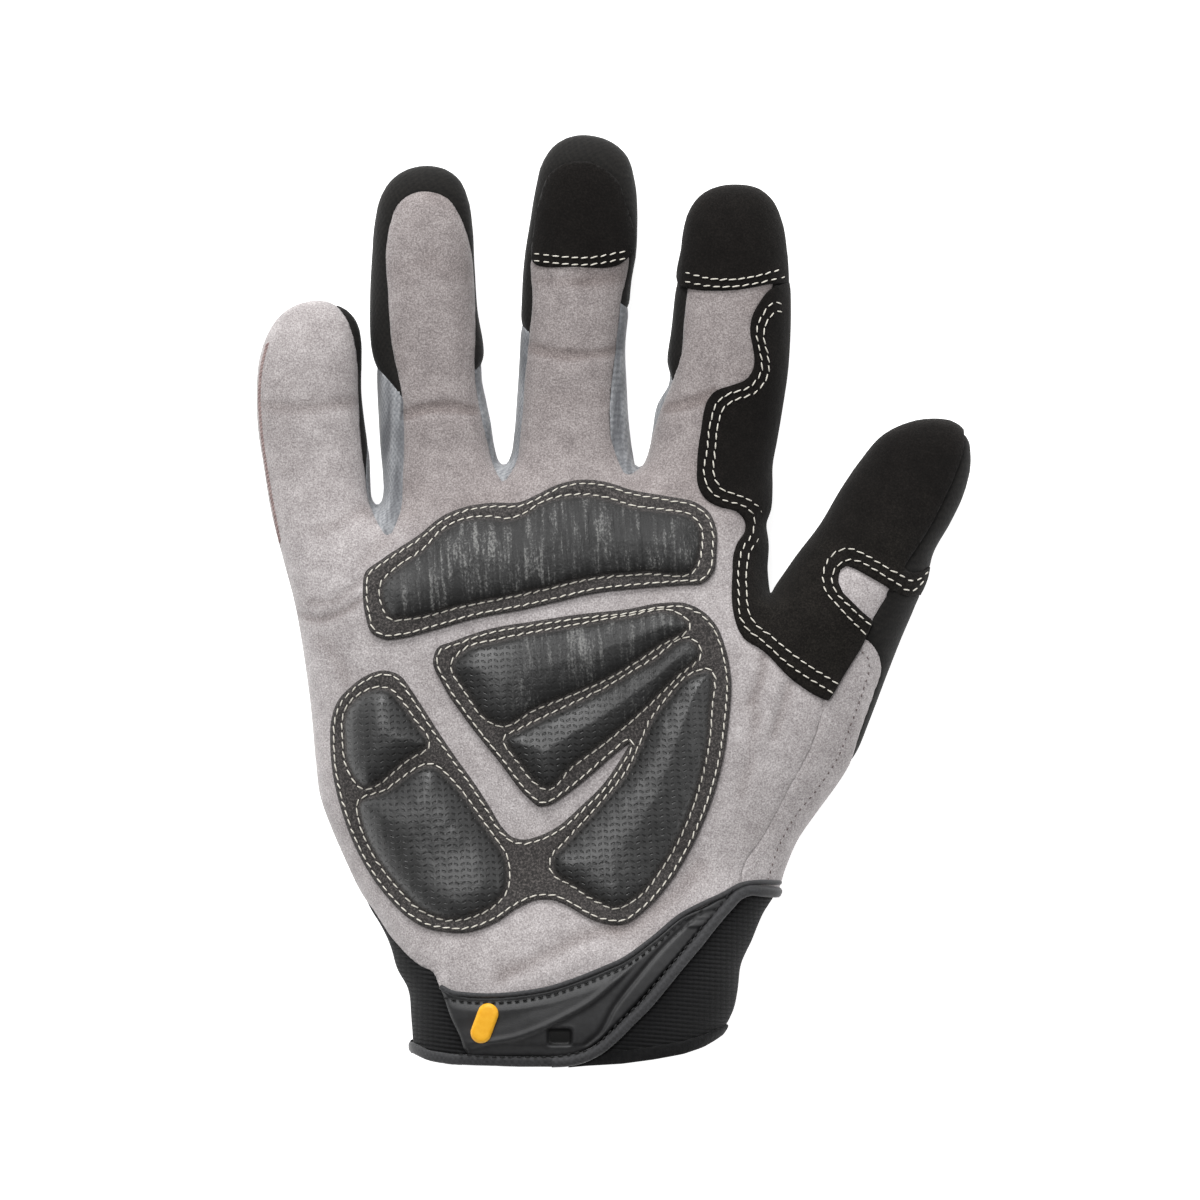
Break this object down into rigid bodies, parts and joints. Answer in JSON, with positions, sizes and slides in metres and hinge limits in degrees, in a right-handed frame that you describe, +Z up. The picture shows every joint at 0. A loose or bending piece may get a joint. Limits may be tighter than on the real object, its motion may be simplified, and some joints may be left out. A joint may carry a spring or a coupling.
{
  "type": "impact glove",
  "caption": "Right-hand work glove with a suede palm, quilted leather pads, black suede fingertip and thumb patches, and a ribbed cuff with a rubber panel.",
  "frame": {"origin": "middle of the underside of the glove's box, on the surface that its back rests on", "axes": "+Y to the fingertips, +X to the thumb side, +Z up out of the palm"},
  "size_m": [0.1782, 0.2322, 0.045],
  "materials": {
    "grey_suede": "napped suede, matt",
    "black_suede": "napped suede, matt",
    "stretch_fabric": "smooth knitted stretch fabric",
    "side_fabric": "thin woven stretch fabric",
    "pad_leather": "embossed padded leather, satin",
    "rib_knit": "ribbed elastic",
    "moulded_rubber": "moulded, satin",
    "trim_tape": "folded binding tape",
    "yellow_rubber": "moulded, satin"
  },
  "bodies": {
    "root": {"palm_panel": "grey_suede", "back_panel": "stretch_fabric", "fourchette_little_ring": "side_fabric", "fourchette_ring_middle": "side_fabric", "fourchette_middle_index": "side_fabric", "thumb_side_strip": "grey_suede", "middle_tip_patch": "black_suede", "index_tip_patch": "black_suede", "saddle_patch": "black_suede", "knuckle_pad": "pad_leather", "palm_pad": "pad_leather", "cuff_rib_left": "rib_knit", "cuff_rib_right": "rib_knit", "cuff_rubber_panel": "moulded_rubber", "palm_piping": "trim_tape", "diagonal_binding": "trim_tape", "hem_binding": "trim_tape", "cuff_accent": "yellow_rubber"}
  },
  "joints": []
}
